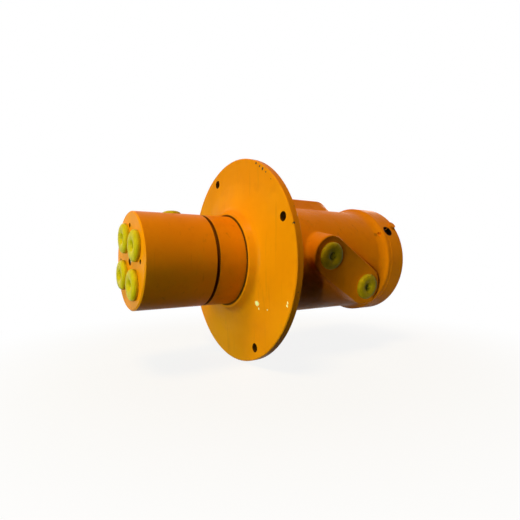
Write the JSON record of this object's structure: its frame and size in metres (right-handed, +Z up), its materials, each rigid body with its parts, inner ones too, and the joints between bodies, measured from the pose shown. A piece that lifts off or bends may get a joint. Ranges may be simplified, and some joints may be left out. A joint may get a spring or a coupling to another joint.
{
  "type": "hydraulic rotary union",
  "caption": "Multi-circuit hydraulic rotary union: flanged cast housing with slanted port pads, a drilled core that turns in it, an end cover and plastic transport plugs.",
  "frame": {"origin": "centre of the flange's rear mounting face, on the axis of rotation", "axes": "+X along the axis of rotation from the core's hose face to the end cover, +Z up"},
  "size_m": [0.3252, 0.22, 0.22],
  "materials": {
    "enamel": "gloss",
    "bronze": "turned",
    "slipper": "matte",
    "seal_rubber": "matte",
    "plug_plastic": "gloss",
    "zinc_steel": "zinc plated"
  },
  "bodies": {
    "housing_side": {"cover_o_ring": "seal_rubber", "cover_screw_1": "zinc_steel", "cover_screw_2": "zinc_steel", "cover_screw_3": "zinc_steel", "cover_screw_4": "zinc_steel", "cover_screw_5": "zinc_steel", "cover_screw_6": "zinc_steel", "cover_washer_1": "zinc_steel", "cover_washer_2": "zinc_steel", "cover_washer_3": "zinc_steel", "cover_washer_4": "zinc_steel", "cover_washer_5": "zinc_steel", "cover_washer_6": "zinc_steel", "dust_seal": "seal_rubber", "end_cover": "enamel", "energiser_ring_1": "seal_rubber", "energiser_ring_2": "seal_rubber", "energiser_ring_3": "seal_rubber", "energiser_ring_4": "seal_rubber", "energiser_ring_5": "seal_rubber", "energiser_ring_6": "seal_rubber", "front_bush": "bronze", "front_thrust_washer": "bronze", "housing": "enamel", "housing_drain_plug": "plug_plastic", "housing_plug_1": "plug_plastic", "housing_plug_2": "plug_plastic", "housing_plug_3": "plug_plastic", "housing_plug_4": "plug_plastic", "rear_bush": "bronze", "rear_thrust_washer": "bronze", "slipper_ring_1": "slipper", "slipper_ring_2": "slipper", "slipper_ring_3": "slipper", "slipper_ring_4": "slipper", "slipper_ring_5": "slipper", "slipper_ring_6": "slipper"},
    "core_side": {"core": "enamel", "core_drain_plug": "plug_plastic", "core_plug_1": "plug_plastic", "core_plug_2": "plug_plastic", "core_plug_3": "plug_plastic", "core_plug_4": "plug_plastic", "drain_stopper": "zinc_steel", "plate_dowel": "zinc_steel", "plate_screw_1": "zinc_steel", "plate_screw_2": "zinc_steel", "plate_screw_3": "zinc_steel", "plate_screw_4": "zinc_steel", "thrust_plate": "zinc_steel"}
  },
  "joints": [
    {"name": "core_spin", "type": "hinge", "parent": "housing_side", "child": "core_side", "pos_m": [0, 0, 0], "axis": [1, 0, 0], "continuous": true}
  ]
}
